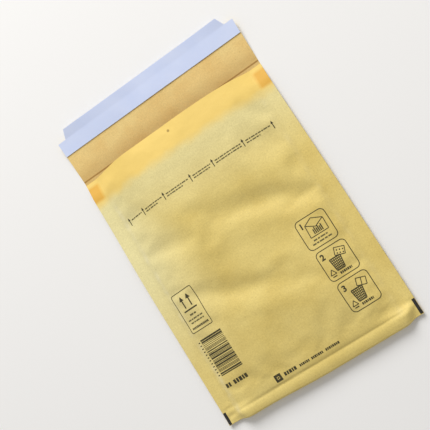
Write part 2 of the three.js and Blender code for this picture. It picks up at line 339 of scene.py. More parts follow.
    def front_height(self, x, y):
        seam_top = self.seam_bottom(x, y) + self.seam_thickness(y)
        squareness = lerp(self.BOTTOM_SQUARENESS, self.MOUTH_SQUARENESS, y / self.mouth_y)
        crown = 1 - np.clip(np.abs(x) / self.open_half, 0, 1) ** squareness
        start, end = (share * self.paper.crease_offset for share in self.OVER_CREASE)
        crown = lerp(self.on_roll(x, y), crown, smoothstep(y, start, end))
        return seam_top + (self.middle_height(y) - seam_top) * crown - self.dent_depth(x, y)

    def fold(self, x, run):
        """Outside of the sheet in the part's frame, at places across it and along it."""
        p = self.paper
        away = self.on_roll(x, self.roll_top_y)
        outermost = self.bottom_line(x) + p.corner_inset * (1 - away)
        top = outermost + lerp(self.seam_thickness(0) / 2, self.roll_top_y, away)
        on_flap = np.clip(p.flap_length - run, 0, None)
        on_back = np.clip((run - p.flap_length) / self.back_run, 0, 1)
        on_roll = np.clip((run - self.roll_start) / self.roll_run, 0, 1)
        on_front = np.clip((run - self.front_start) / self.front_run, 0, 1)

        back_y = lerp(p.pouch_length, top, on_back)
        front_y = lerp(top, self.mouth_y, on_front)
        turn = math.pi * (1 - on_roll)
        low, high = self.back_height(x, top), self.front_height(x, top)
        roll_y = top - (top - outermost) * np.sin(turn) ** self.ROLL_SQUARENESS
        rise = np.sign(np.cos(turn)) * np.abs(np.cos(turn)) ** self.ROLL_SQUARENESS
        roll_z = (high + low) / 2 + (high - low) / 2 * rise

        zones = [run < p.flap_length, run < self.roll_start, run < self.front_start]
        flap_y = p.pouch_length + on_flap * math.cos(p.flap_lift)
        flap_z = on_flap * math.sin(p.flap_lift)
        y = np.select(zones, [flap_y, back_y, roll_y], front_y)
        z = np.select(zones, [flap_z, self.back_height(x, back_y), roll_z], self.front_height(x, front_y))
        pull = p.mouth_draw_in * smoothstep(y, p.pouch_length / 2, p.pouch_length)
        pull = np.where(run < p.flap_length, p.mouth_draw_in * (1 - on_flap / p.flap_length), pull)
        return np.stack([x * (1 - pull / self.half), y + BOTTOM_FOLD_Y, z], axis=1)

    def run_at_front(self, y):
        return self.front_start + (y - self.roll_top_y)

    def run_at_back(self, y):
        return self.paper.flap_length + (self.paper.pouch_length - y)


def read_points(mesh):
    points = np.empty(len(mesh.vertices) * 3)
    mesh.vertices.foreach_get("co", points)
    return points.reshape(-1, 3)


def write_points(mesh, points):
    mesh.vertices.foreach_set("co", np.ascontiguousarray(points, dtype=np.float32).ravel())
    mesh.update()


def flat_sheet(name, across, along):
    """Flat grid with its lines at those places across X and along Y, and a UV map from corner to corner."""
    columns, rows = len(across) - 1, len(along) - 1
    bpy.ops.object.select_all(action="DESELECT")
    bpy.ops.mesh.primitive_grid_add(x_subdivisions=columns, y_subdivisions=rows, size=1)
    piece = bpy.context.object
    piece.name = piece.data.name = name
    x, y = np.meshgrid(across, along)
    flat = np.stack([x.ravel(), y.ravel(), np.zeros(x.size)], axis=1)
    write_points(piece.data, flat)
    corners = np.empty(len(piece.data.loops), dtype=int)
    piece.data.loops.foreach_get("vertex_index", corners)
    spans = [(line - line[0]) / (line[-1] - line[0]) for line in (across, along)]
    uv = np.stack([net.ravel() for net in np.meshgrid(*spans)], axis=1)
    piece.data.uv_layers.active.data.foreach_set("uv", uv[corners].astype(np.float32).ravel())
    return piece


def even(width, cell):
    """Evenly spaced lines from 0 to a width."""
    return np.linspace(0, width, round(width / cell) + 1)


def pick(*pieces):
    """Selects pieces, the first of them as the active one."""
    bpy.ops.object.select_all(action="DESELECT")
    for piece in pieces:
        piece.select_set(True)
    bpy.context.view_layer.objects.active = pieces[0]


def finish_modifier(piece, kind, **settings):
    """Adds a modifier with its settings and applies it."""
    pick(piece)
    modifier = piece.modifiers.new(kind.lower(), kind)
    for name, value in settings.items():
        setattr(modifier, name, value)
    bpy.ops.object.modifier_apply(modifier=modifier.name)


def smooth(piece, degrees=40):
    """Shades a piece smooth, except at edges sharper than an angle."""
    pick(piece)
    bpy.ops.object.shade_smooth_by_angle(angle=math.radians(degrees))


def make_layer(piece, points, material, thickness):
    """Gives a flat sheet its form, its material and its thickness."""
    write_points(piece.data, points)
    piece.data.materials.append(material)
    finish_modifier(piece, "SOLIDIFY", thickness=thickness, offset=-1)
    smooth(piece)


class PaperSurface:
    """Outside of the finished paper, for pieces that follow it."""

    def __init__(self, pouch):
        self.pouch = pouch
        shape = (len(pouch.along), len(pouch.across), 3)
        mesh = bpy.data.objects["kraft_paper"].data
        self.points = read_points(mesh)[: shape[0] * shape[1]].reshape(shape)
        normals = np.cross(np.gradient(self.points, axis=1), np.gradient(self.points, axis=0))
        self.normals = normals / np.linalg.norm(normals, axis=2, keepdims=True)

    def at(self, x, run, inward):
        """Points at places across and along the sheet, moved towards its inner side."""
        rows, columns = len(self.pouch.along) - 1, len(self.pouch.across) - 1
        c = np.interp(x, self.pouch.across, np.arange(columns + 1))
        past_end = np.minimum(run, 0) / self.pouch.along[1]
        r = np.interp(run, self.pouch.along, np.arange(rows + 1)) + past_end
        column = np.clip(np.floor(c).astype(int), 0, columns - 1)
        row = np.clip(np.floor(r).astype(int), 0, rows - 1)
        c, r = (c - column)[:, None], (r - row)[:, None]

        def between(net):
            near = lerp(net[row, column], net[row, column + 1], c)
            far = lerp(net[row + 1, column], net[row + 1, column + 1], c)
            return lerp(near, far, r)

        return between(self.points) - between(self.normals) * np.reshape(inward, (-1, 1))


def add_node(tree, kind, *values, sockets=(), **settings):
    """Adds a shader node with its settings.

    Its sockets, in order or by name, take values, other sockets or other nodes' first outputs.
    """
    node = tree.nodes.new("ShaderNode" + kind)
    for name, value in settings.items():
        setattr(node, name, value)
    for socket, value in [*enumerate(values), *dict(sockets).items()]:
        if isinstance(value, bpy.types.Node):
            value = next(output for output in value.outputs if output.enabled)
        if isinstance(value, bpy.types.NodeSocket):
            tree.links.new(value, node.inputs[socket])
        else:
            node.inputs[socket].default_value = value
    return node


def new_material(name):
    """Material with an empty tree, and the function that adds nodes to it."""
    material = bpy.data.materials.new(name)
    material.use_nodes = True
    material.node_tree.nodes.clear()
    return material, partial(add_node, material.node_tree)


# Widths of the patterns in kraft paper, in millimetres
CLOUD = 26
MOTTLE = 1.3
FIBRE = (0.5, 4)
FLECK = 1.1
COCKLE = 9
RAGGED_GLUE = 11
# Paler, greyer tone, partly the paper's own and partly painted light on the left and upper front where they face
# away from the lamp, in millimetres: in from the left edge, and up the front at the left and right across
PALE_SIDE = (66, 4)
PALE_RISE = (40, 130)
PALE_TOP = (150, 190)
# Painted shade on the inner side, deepening up to the flap fold and kept inside the pouch, and half the width of
# the dark line of painted shade along the fold, in millimetres
SHADE_BEFORE_FOLD = 17
FOLD_LINE = 0.6
# Glue band, in millimetres: where it begins and is full below the mouth's edge, and how far it wanders
BAND = (22, 12)
BAND_WANDER = 7
# Painted highlights along the welds, in millimetres: from the middle, their blur, and where they fade across
WELD_LINE = 71.5
WELD_BLUR = (3.4, 0.3)
WELD_FADE = (20, 150)
# Glue corners, in millimetres: inner sides from the middle, height below the mouth's edge, and ends from it
GLUE_SIDE = (73.8, 77.2)
GLUE_BELOW = 10.4
GLUE_END = (8.2, 5.6)
# Brown spot, in millimetres: from the left edge and below the mouth's edge, and its blur
SPOT_PLACE = (85.3, 5.7)
SPOT_BLUR = (1.4, 0.7)


def kraft_paper(name, pouch, gold, ochre, pale, marks):
    """Machine-glazed kraft paper: satin, cloudy, with fine fibres and dark flecks, and marks over them."""
    material, add = new_material(name)
    uv = add("TexCoord").outputs["UV"]
    flat = (pouch.paper.width / MM, pouch.length / MM, 1)
    sheet = add("Mapping", sockets={"Vector": uv, "Scale": flat})
    place = add("SeparateXYZ", sheet)
    across, along = place.outputs["X"], place.outputs["Y"]

    clouds = add("TexNoise", sockets={"Vector": sheet, "Scale": 1 / CLOUD, "Detail": 3})
    cloud = add("MapRange", clouds, 0.35, 0.7)
    rise, top = ([pouch.front_start / MM + stop for stop in span] for span in (PALE_RISE, PALE_TOP))
    # Partly painted light: the left and the upper front are made paler where their slopes render in shade
    left = add("MapRange", across, *PALE_SIDE, 0, 0.8, interpolation_type="SMOOTHSTEP")
    left = add("Math", left, add("MapRange", along, *rise, 0.1, 1), operation="MULTIPLY")
    pale_and_lit = add("Math", left, add("MapRange", along, *top, 0, 0.55), operation="MAXIMUM")

    mottle = add("TexNoise", sockets={"Vector": sheet, "Scale": 1 / MOTTLE, "Detail": 4, "Roughness": 0.6})
    grain = add("Mapping", sockets={"Vector": sheet, "Scale": (1 / FIBRE[0], 1 / FIBRE[1], 1)})
    fibres = add("TexNoise", sockets={"Vector": grain, "Scale": 1, "Detail": 3, "Roughness": 0.6})
    tone = add("MapRange", mottle, 0.25, 0.75, 0.88, 1.09)
    toned = add("Math", tone, add("MapRange", fibres, 0.3, 0.7, 0.95, 1.04), operation="MULTIPLY")
    grey = add("CombineColor", toned, toned, toned)
    flecks = add("TexNoise", sockets={"Vector": sheet, "Scale": 1 / FLECK, "Detail": 1})
    fleck = add("MapRange", flecks, 0.72, 0.78, 0, 0.4)

    layers = [(cloud, ochre, "MIX"), (pale_and_lit, pale, "MIX"), (1, grey, "MULTIPLY")]
    spots = [(fleck, pouch.paper.spot)] + marks(add, pouch, sheet)
    layers += [(share, over, "MIX") for share, over in spots]
    colour = gold
    for share, over, blend in layers:
        mixed = {"Factor": share, "A": colour, "B": over}
        colour = add("Mix", sockets=mixed, data_type="RGBA", blend_type=blend)

    cockle = add("TexNoise", sockets={"Vector": sheet, "Scale": 1 / COCKLE, "Detail": 4})
    wavy = add("Bump", sockets={"Height": cockle, "Strength": 0.7, "Distance": 0.4 * MM})
    relief = add("Math", mottle, fibres, operation="ADD")
    bump = add("Bump", sockets={"Height": relief, "Strength": 0.5, "Distance": 0.08 * MM, "Normal": wavy})
    satin = add("MapRange", mottle, 0.25, 0.75, 0.52, 0.68)
    surface = {"Base Color": colour, "Roughness": satin, "Specular IOR Level": 0.35, "Normal": bump}
    add("OutputMaterial", add("BsdfPrincipled", sockets=surface))
    return material


def fold_marks(add, pouch, sheet):
    """Shares and colours over the inner side: painted shade that deepens up to the flap fold and stays inside
    the pouch, and a dark line of painted shade along the fold.
    """
    along = add("SeparateXYZ", sheet).outputs["Y"]
    fold = pouch.paper.flap_length / MM
    # Painted shade: darker towards the flap fold and held past it, inside the pouch
    shade_before_fold = add("MapRange", along, fold - SHADE_BEFORE_FOLD, fold, 0, 0.4, interpolation_type="SMOOTHSTEP")
    # Painted shade: a dark line along the flap fold
    score = add("Math", along, fold, FOLD_LINE, operation="COMPARE")
    return [(shade_before_fold, pouch.paper.score), (score, pouch.paper.score)]


def mouth_marks(add, pouch, sheet):
    """Shares and colours over the outside: painted highlights along the welds, glue band, glue corners and the
    spot.
    """
    paper, edge = pouch.paper, pouch.length / MM
    place = add("SeparateXYZ", sheet)
    across, along = place.outputs["X"], place.outputs["Y"]
    ragged = add("TexNoise", sockets={"Vector": sheet, "Scale": 1 / RAGGED_GLUE, "Detail": 3})
    wander = add("Math", ragged, BAND_WANDER, along, operation="MULTIPLY_ADD")
    start, full = (edge - below for below in BAND)
    band = add("MapRange", wander, start, full, 0, 0.85, interpolation_type="SMOOTHSTEP")

    from_middle = add("Math", across, pouch.half / MM, operation="SUBTRACT")
    aside = add("Math", from_middle, operation="ABSOLUTE")
    from_weld = add("Math", aside, WELD_LINE, operation="SUBTRACT")
    # Painted highlight: a patchy pale line beside each weld, fading towards the right
    weld = add("MapRange", add("Math", from_weld, operation="ABSOLUTE"), *WELD_BLUR)
    below_flap = add("Math", along, paper.flap_length / MM, operation="GREATER_THAN")
    patchy = add("MapRange", ragged, 0.4, 0.7, 0.05, 0.5)
    fading = add("MapRange", across, *WELD_FADE, 1, 0.25)
    for share in (below_flap, patchy, fading):
        weld = add("Math", weld, share, operation="MULTIPLY")

    corner = add("MapRange", aside, *GLUE_SIDE)
    from_glue = add("Math", along, edge - GLUE_BELOW, operation="SUBTRACT")
    near = add("MapRange", add("Math", from_glue, operation="ABSOLUTE"), *GLUE_END, 0, 0.8)
    glue = add("Math", corner, near, operation="MULTIPLY")

    left, below = SPOT_PLACE
    away = add("VectorMath", sheet, (left, edge - below, 0), operation="DISTANCE")
    spot = add("MapRange", away, *SPOT_BLUR, 0, 0.7)
    return [(weld, paper.weld), (band, paper.band), (glue, paper.glue), (spot, paper.spot)]


def clear_film(film):
    """Blown polyethylene film: clear, glossy and faintly milky."""
    material, add = new_material("blown_polyethylene_film")
    surface = {"Base Color": film.clear, "Roughness": 0.12, "IOR": 1.51, "Alpha": 0.22, "Coat Weight": 0.3}
    add("OutputMaterial", add("BsdfPrincipled", sockets=surface))
    return material


def release_paper(strip):
    """Siliconed release paper: smooth white with a painted blue cast that stands in for cool light on it, with
    faint clouds and a soft gloss.
    """
    cloud, fibre = 18 * MM, 1.2 * MM
    material, add = new_material("siliconed_release_paper")
    place = add("TexCoord").outputs["Object"]
    clouds = add("TexNoise", sockets={"Vector": place, "Scale": 1 / cloud, "Detail": 4})
    colour = add("Mix", sockets={"Factor": clouds, "A": strip.white, "B": strip.shade}, data_type="RGBA")
    fibres = add("TexNoise", sockets={"Vector": place, "Scale": 1 / fibre, "Detail": 3})
    bump = add("Bump", sockets={"Height": fibres, "Strength": 0.15, "Distance": 0.05 * MM})
    gloss = add("MapRange", clouds, 0, 1, 0.34, 0.46)
    surface = {"Base Color": colour, "Roughness": gloss, "Normal": bump}
    add("OutputMaterial", add("BsdfPrincipled", sockets=surface))
    return material


def hot_melt(strip):
    """Hot-melt adhesive: pale, tacky and glossy, with coating streaks along the strip."""
    streak_length, streak_width = 30 * MM, 1 * MM
    material, add = new_material("hot_melt_adhesive")
    place = add("TexCoord").outputs["Object"]
    run = add("Mapping", sockets={"Vector": place, "Scale": (1 / streak_length, 1 / streak_width, 1)})
    streaks = add("TexNoise", sockets={"Vector": run, "Scale": 1, "Detail": 3})
    bump = add("Bump", sockets={"Height": streaks, "Strength": 0.3, "Distance": 0.1 * MM})
    surface = {"Base Color": strip.hot_melt, "Roughness": 0.28, "Normal": bump}
    add("OutputMaterial", add("BsdfPrincipled", sockets=surface))
    return material


def printing_ink(name, dark, thin):
    """Flexo ink: matt, and thinner in specks where the paper shows through."""
    if name in bpy.data.materials:
        return bpy.data.materials[name]
    speck = 0.9 * MM
    material, add = new_material(name)
    place = add("TexCoord").outputs["Object"]
    specks = add("TexNoise", sockets={"Vector": place, "Scale": 1 / speck, "Detail": 3})
    wear = add("MapRange", specks, 0.45, 0.75)
    colour = add("Mix", sockets={"Factor": wear, "A": dark, "B": thin}, data_type="RGBA")
    add("OutputMaterial", add("BsdfPrincipled", sockets={"Base Color": colour, "Roughness": 0.65}))
    return material


def matt_floor(stage):
    """Matt painted floor."""
    material, add = new_material("matt_floor")
    surface = {"Base Color": stage.floor, "Roughness": 0.9}
    add("OutputMaterial", add("BsdfPrincipled", sockets=surface))
    return material


def line_ink():
    settings = bpy.context.scene.envelope_print
    return printing_ink("flexo_ink", settings.ink, settings.thin_ink)


def type_ink():
    settings = bpy.context.scene.envelope_print
    return printing_ink("flexo_type_ink", settings.type_ink, settings.type_thin)


class InkWork:
    """Flat shapes of ink in scaled millimetres from an origin on the paper, laid on it as one piece."""

    # Height above the mouth from which shapes are let down
    CLEARANCE = 20 * MM
    # Height of a digit in shares of its font's size, and how much bolder it is made, in shares of its height
    DIGIT_HEIGHT = 0.69
    BOLDNESS = 0.05
    DOT_SIDES = 12
    CORNER_SEGMENTS = 5
    # Blocks in the place of type, by their lengths in turn and their gap, in shares of their height
    WORDS = ((2.6, 1.5, 3.4, 2.0), 0.55)
    LETTERS = ((0.62, 0.5, 0.72, 0.42, 0.66), 0.2)
    SHORTEST_WORD = 0.8

    def __init__(self, name, ink, origin=(0, 0), scale=1):
        self.name = name
        self.ink = ink
        self.origin = origin
        self.unit = scale * MM
        self.line = bpy.context.scene.envelope_print.line / MM
        self.shapes = []

    def keep(self, shape, ink=None):
        shape.data.materials.append(ink or self.ink)
        self.shapes.append(shape)

    def place(self, x, y):
        """Point over the paper, from which a shape is let down on it."""
        left, bottom = self.origin
        x, y = left * MM + x * self.unit, bottom * MM + y * self.unit
        return (x, y + BOTTOM_FOLD_Y, PAPER_HIGH[2] + self.CLEARANCE)

    def bar(self, left, bottom, right, top, turn=0, ink=None):
        """Rectangle, turned about its middle."""
        middle = self.place((left + right) / 2, (bottom + top) / 2)
        bpy.ops.mesh.primitive_plane_add(size=1, location=middle, rotation=(0, 0, turn))
        bpy.context.object.scale = ((right - left) * self.unit, (top - bottom) * self.unit, 1)
        self.keep(bpy.context.object, ink)

    def stroke(self, start, end, width):
        """Straight line between two points."""
        run = Vector(end) - Vector(start)
        x, y = (Vector(start) + Vector(end)) / 2
        half = run.length / 2
        self.bar(x - half, y - width / 2, x + half, y + width / 2, math.atan2(run.y, run.x))

    def strokes(self, points, width=None):
        for start, end in zip(points, points[1:]):
            self.stroke(start, end, width or self.line)

    def arrow_head(self, x, y, width, height):
        """Triangle that points to the mouth, with its tip at x, y, scaled from one in a unit circle."""
        middle = self.place(x, y - height * 2 / 3)
        bpy.ops.mesh.primitive_circle_add(vertices=3, radius=1, fill_type="NGON", location=middle)
        bpy.context.object.scale = (width * self.unit / math.sqrt(3), height * self.unit / 1.5, 1)
        self.keep(bpy.context.object)

    def dot(self, x, y, radius):
        sizes = {"vertices": self.DOT_SIDES, "radius": radius * self.unit}
        bpy.ops.mesh.primitive_circle_add(**sizes, fill_type="NGON", location=self.place(x, y))
        self.keep(bpy.context.object)

    def rounded_frame(self, left, bottom, right, top, radius, width):
        """Outline of a box with round corners."""
        self.bar(left, bottom, right, top)
        bpy.ops.object.transform_apply(location=True, rotation=True, scale=True)
        bpy.ops.object.mode_set(mode="EDIT")
        bpy.ops.mesh.select_all(action="SELECT")
        bpy.ops.mesh.bevel(offset=radius * self.unit, segments=self.CORNER_SEGMENTS, affect="VERTICES")
        bpy.ops.mesh.inset(thickness=width * self.unit)
        bpy.ops.mesh.delete(type="FACE")
        bpy.ops.object.mode_set(mode="OBJECT")

    def digit(self, text, left, bottom, height):
        bpy.ops.object.text_add(location=self.place(left, bottom))
        label = bpy.context.object
        label.data.body = text
        label.data.size = height * self.unit / self.DIGIT_HEIGHT
        label.data.offset = self.BOLDNESS * height * self.unit
        bpy.ops.object.convert(target="MESH")
        self.keep(bpy.context.object)

    def blocks(self, left, right, end, y, height, pattern, ink):
        """Row of blocks in the place of a line of type. None begins past its end."""
        shares, gap = pattern
        x, shares = left, cycle(shares)
        while x < end:
            block = min(height * next(shares), right - x)
            self.bar(x, y - height / 2, x + block, y + height / 2, ink=ink)
            x = x + block + gap * height

    def words(self, left, right, y, height):
        """Plain dashes in the place of small type."""
        self.blocks(left, right, right - self.SHORTEST_WORD, y, height, self.WORDS, type_ink())

    def letters(self, left, right, y, height):
        """Narrow blocks in the place of bold type."""
        end = right - self.LETTERS[1] * height
        self.blocks(left, right, end, y, height, self.LETTERS, self.ink)

    def lay(self):
        """Joins the shapes, cuts them fine enough to bend, and lays them on the paper."""
        settings = bpy.context.scene.envelope_print
        piece = self.shapes[0]
        pick(*self.shapes)
        bpy.ops.object.join()
        bpy.ops.object.transform_apply(location=True, rotation=True, scale=True)
        piece.name = piece.data.name = self.name
        cut_fine(piece, settings.step)
        finish_modifier(
            piece,
            "SHRINKWRAP",
            target=bpy.data.objects["kraft_paper"],
            wrap_method="PROJECT",
            wrap_mode="ABOVE_SURFACE",
            use_project_z=True,
            use_negative_direction=True,
            use_positive_direction=False,
            offset=settings.lift,
        )
        finish_modifier(piece, "SOLIDIFY", thickness=settings.film, offset=1)
        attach(piece, BODY)


def cut_fine(piece, step):
    """Cuts a flat piece along lines a step apart both ways."""
    points = read_points(piece.data)
    bpy.ops.object.mode_set(mode="EDIT")
    for axis, normal in enumerate(((1, 0, 0), (0, 1, 0))):
        low, high = points[:, axis].min(), points[:, axis].max()
        for stop in np.arange(low + step, high, step):
            bpy.ops.mesh.select_all(action="SELECT")
            bpy.ops.mesh.bisect(plane_co=[stop * n for n in normal], plane_no=normal)
    bpy.ops.object.mode_set(mode="OBJECT")


class ENVELOPE_OT_kraft_paper(bpy.types.Operator):
    """Fold the kraft sheet into the pouch and its flap"""

    bl_idname = "envelope.kraft_paper"
    bl_label = "Kraft Paper"

    # Cloth: frames, mass of a point, hold of the padding, and where the front comes free beside the welds
    FRAMES = 15
    VERTEX_MASS = 0.001
    PADDING_HOLD = 0.02
    FREE_FROM_WELD = (-3 * MM, 6 * MM)
    # Heights that handling leaves in the front, in the roll, in the flap and in the flat corners
    SWELL = 0.4 * MM
    CRUMPLE = 0.25 * MM
    PUCKER = 0.55 * MM
    ROLL_KINK = 0.35 * MM
    FLAP_BOW = 1 * MM
    CORNER_KINK = 1.3 * MM
    # Front above the roll over which handling sets in, and line and width of the puckers beside the welds
    HANDLED_FROM = 25 * MM
    PUCKER_LINE = 7 * MM
    PUCKER_WIDTH = 8 * MM
    # Front lowered by what buckling then adds, and heights above the bottom fold between which that ends
    BUCKLE_RISE = 1.1 * MM
    BUCKLE_END = (170 * MM, 205 * MM)
    # Flat corners: ends in shares of the crease's offset, width beside the welds, and share taken off kinks
    CORNER_END = (1.2, 2.2)
    CORNER_WIDTH = 8 * MM
    KINK_CUT = 0.2
    # How many times closer kinks and crumples lie along one direction than along the other
    CORNER_KINKS_ACROSS = 1.4
    ROLL_KINKS_ALONG = 0.4
    CRUMPLES_ALONG = 1.6
    # Degrees up to which the sheet is shaded smooth
    SMOOTH_BELOW = 28

    def execute(self, context):
        paper = context.scene.envelope_paper
        pouch = Pouch(paper)
        piece = flat_sheet("kraft_paper", pouch.across, pouch.along)
        flat = read_points(piece.data)
        x, run = flat[:, 0], flat[:, 1]
        points = pouch.fold(x, run)
        points[:, 2] += self.handling(pouch, x, run) + self.pinches(pouch, points, run)
        write_points(piece.data, points)
        self.settle(context.scene, piece, pouch, x, run)
        outside = (paper.gold, paper.ochre, paper.pale, mouth_marks)
        inside = (paper.inside, paper.inside_ochre, paper.inside, fold_marks)
        piece.data.materials.append(kraft_paper("glazed_kraft_outside", pouch, *outside))
        piece.data.materials.append(kraft_paper("kraft_inside", pouch, *inside))
        self.press_crease(piece, pouch)
        finish_modifier(piece, "SUBSURF", levels=1, boundary_smooth="PRESERVE_CORNERS")
        finish_modifier(piece, "SOLIDIFY", thickness=paper.thickness, offset=-1, material_offset=1)
        smooth(piece, self.SMOOTH_BELOW)
        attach(piece, BODY)
        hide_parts("kraft_envelope")
        return {"FINISHED"}

    def settle(self, scene, piece, pouch, x, run):
        """Lets the front, a little longer than its seams, buckle over the padding that holds it."""
        free = smoothstep(run, pouch.crease_run, pouch.climb_run)
        free *= smoothstep(pouch.open_half - np.abs(x), *self.FREE_FROM_WELD)
        held = piece.vertex_groups.new(name="held")
        for index, share in enumerate(1 - (1 - self.PADDING_HOLD) * free):
            held.add([index], float(share), "REPLACE")
        cloth = piece.modifiers.new("settle", "CLOTH")
        cloth.settings.vertex_group_mass = held.name
        cloth.settings.vertex_group_shrink = held.name
        cloth.settings.shrink_min = -pouch.paper.slack
        cloth.settings.mass = self.VERTEX_MASS
        cloth.settings.quality = 6
        cloth.settings.bending_stiffness = 2
        cloth.settings.effector_weights.gravity = 0
        for moment in range(1, self.FRAMES + 1):
            scene.frame_set(moment)
        bpy.ops.object.modifier_apply(modifier=cloth.name)
        scene.frame_set(1)
        piece.vertex_groups.clear()

    def press_crease(self, piece, pouch):
        """Keeps the line of the crease above the roll sharp when the sheet is subdivided."""
        columns = len(pouch.across)
        row = int(np.argmin(np.abs(pouch.along - pouch.crease_run)))
        ends = np.empty(len(piece.data.edges) * 2, dtype=int)
        piece.data.edges.foreach_get("vertices", ends)
        on_row = (ends.reshape(-1, 2) // columns == row).all(axis=1)
        sharp = piece.data.attributes.new("crease_edge", "FLOAT", "EDGE")
        sharp.data.foreach_set("value", on_row.astype(np.float32))

    def pinches(self, pouch, points, run):
        """Height of the small kinks in the flat corners beside the roll, the same in both layers."""
        x, y = points[:, 0], points[:, 1] - BOTTOM_FOLD_Y
        start, end = (share * pouch.paper.crease_offset for share in self.CORNER_END)
        tab = 1 - smoothstep(y, start, end)
        beside = smoothstep(np.abs(x), pouch.open_half - self.CORNER_WIDTH, pouch.open_half)
        kinks = np.abs(waves(x * self.CORNER_KINKS_ACROSS, y, size=5.5 * MM, seed=7.7)) - self.KINK_CUT
        return np.where(run > pouch.paper.flap_length, self.CORNER_KINK * kinks * tab * beside, 0)

    def handling(self, pouch, x, run):
        """Height that handling adds: slow swells, crumples and puckers on the front, and a wavy flap."""
        front = smoothstep(run, pouch.front_start, pouch.front_start + self.HANDLED_FROM)
        front = front * pouch.away_from_seam(x)
        swells = self.SWELL * waves(x, run, size=42 * MM, seed=0.3)
        crumples = self.CRUMPLE * np.abs(waves(x, run * self.CRUMPLES_ALONG, size=24 * MM, seed=5.1))
        off_line = (pouch.open_half - self.PUCKER_LINE - np.abs(x)) / self.PUCKER_WIDTH
        puckers = self.PUCKER * waves(np.sign(x), run, size=9 * MM, seed=8.4) * np.exp(-off_line ** 2)
        folded = smoothstep(run, pouch.roll_start, pouch.front_start) * (1 - front) * pouch.on_roll(x, 0)
        kinks = self.ROLL_KINK * waves(x, run * self.ROLL_KINKS_ALONG, size=14 * MM, seed=4.4) * folded
        flap = np.clip(1 - run / pouch.paper.flap_length, 0, 1)
        bow = self.FLAP_BOW * waves(x, run, size=55 * MM, seed=3.6) * flap
        start, end = (pouch.run_at_front(y) for y in self.BUCKLE_END)
        sunk = self.BUCKLE_RISE * front * (1 - smoothstep(run, start, end))
        return (swells - crumples + puckers) * front - sunk + kinks + bow


class ENVELOPE_OT_bubble_film(bpy.types.Operator):
    """Line the pouch with bubble film"""

    bl_idname = "envelope.bubble_film"
    bl_label = "Bubble Film"

    # Powers of a bubble's flat top and round edge, angle of its staggered rows, and room left between walls
    FLATNESS = 3
    ROUNDNESS = 0.6
    STAGGER = math.radians(60)
    ROOM_LEFT = 1.2 * MM

    def execute(self, context):
        paper, film = context.scene.envelope_paper, context.scene.envelope_film
        strip = context.scene.envelope_strip
        pouch = Pouch(paper)
        width = paper.width - 2 * film.edge
        start, end = pouch.run_at_back(pouch.lining_y), pouch.run_at_front(pouch.lining_y)
        across, along = even(width, film.cell) - width / 2, even(end - start, film.cell)
        piece = flat_sheet("bubble_film", across, along)
        flat = read_points(piece.data)
        x, run = flat[:, 0], flat[:, 1] + start
        seat = paper.thickness + strip.gap
        raised = self.bubbles(film, x, flat[:, 1]) * self.room(pouch, film, x, run)
        make_layer(piece, PaperSurface(pouch).at(x, run, seat + raised), clear_film(film), film.gauge)
        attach(piece, BODY)
        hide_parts("bubble_liner")
        return {"FINISHED"}

    def bubbles(self, film, x, along):
        """1 on a bubble's top and 0 between the bubbles, which stand in staggered rows."""
        row_pitch = film.pitch * math.sin(self.STAGGER)
        nearest = np.full_like(x, np.inf)
        for step in (0, 1):
            row = np.floor(along / row_pitch) + step
            shift = (row % 2) * film.pitch / 2
            over = (x - shift + film.pitch / 2) % film.pitch - film.pitch / 2
            nearest = np.minimum(nearest, np.hypot(over, along - row * row_pitch))
        return np.clip(1 - (nearest / (film.bubble / 2)) ** self.FLATNESS, 0, 1) ** self.ROUNDNESS

    def room(self, pouch, film, x, run):
        """Height of a bubble where the walls leave room for it."""
        y = np.where(
            run > pouch.front_start,
            run - pouch.front_start + pouch.roll_top_y,
            pouch.paper.flap_length + pouch.paper.pouch_length - run,
        )
        room = np.clip(pouch.front_height(x, y) - pouch.back_height(x, y) - self.ROOM_LEFT, 0, None)
        crease = pouch.paper.crease_offset
        away = pouch.away_from_seam(x) * smoothstep(y, crease, 2 * crease)
        return film.height * (1 - np.exp(-room / (2 * film.height))) * away


class ENVELOPE_OT_self_seal_strip(bpy.types.Operator):
    """Coat the flap with its band of adhesive"""

    bl_idname = "envelope.self_seal_strip"
    bl_label = "Self-Seal Strip"

    def execute(self, context):
        paper, strip = context.scene.envelope_paper, context.scene.envelope_strip
        pouch = Pouch(paper)
        width = paper.width - 2 * strip.adhesive_margin
        near = paper.flap_length - strip.cover / 2 - strip.adhesive_width / 2
        cell = paper.cell / 2
        across, along = even(width, cell) - width / 2, even(strip.adhesive_width, cell)
        piece = flat_sheet("self_seal_strip", across, along)
        flat = read_points(piece.data)
        top = paper.thickness + strip.gap + strip.adhesive
        points = PaperSurface(pouch).at(flat[:, 0], paper.flap_length - near - flat[:, 1], top)
        make_layer(piece, points, hot_melt(strip), strip.adhesive)
        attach(piece, BODY)
        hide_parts("adhesive_strip")
        return {"FINISHED"}


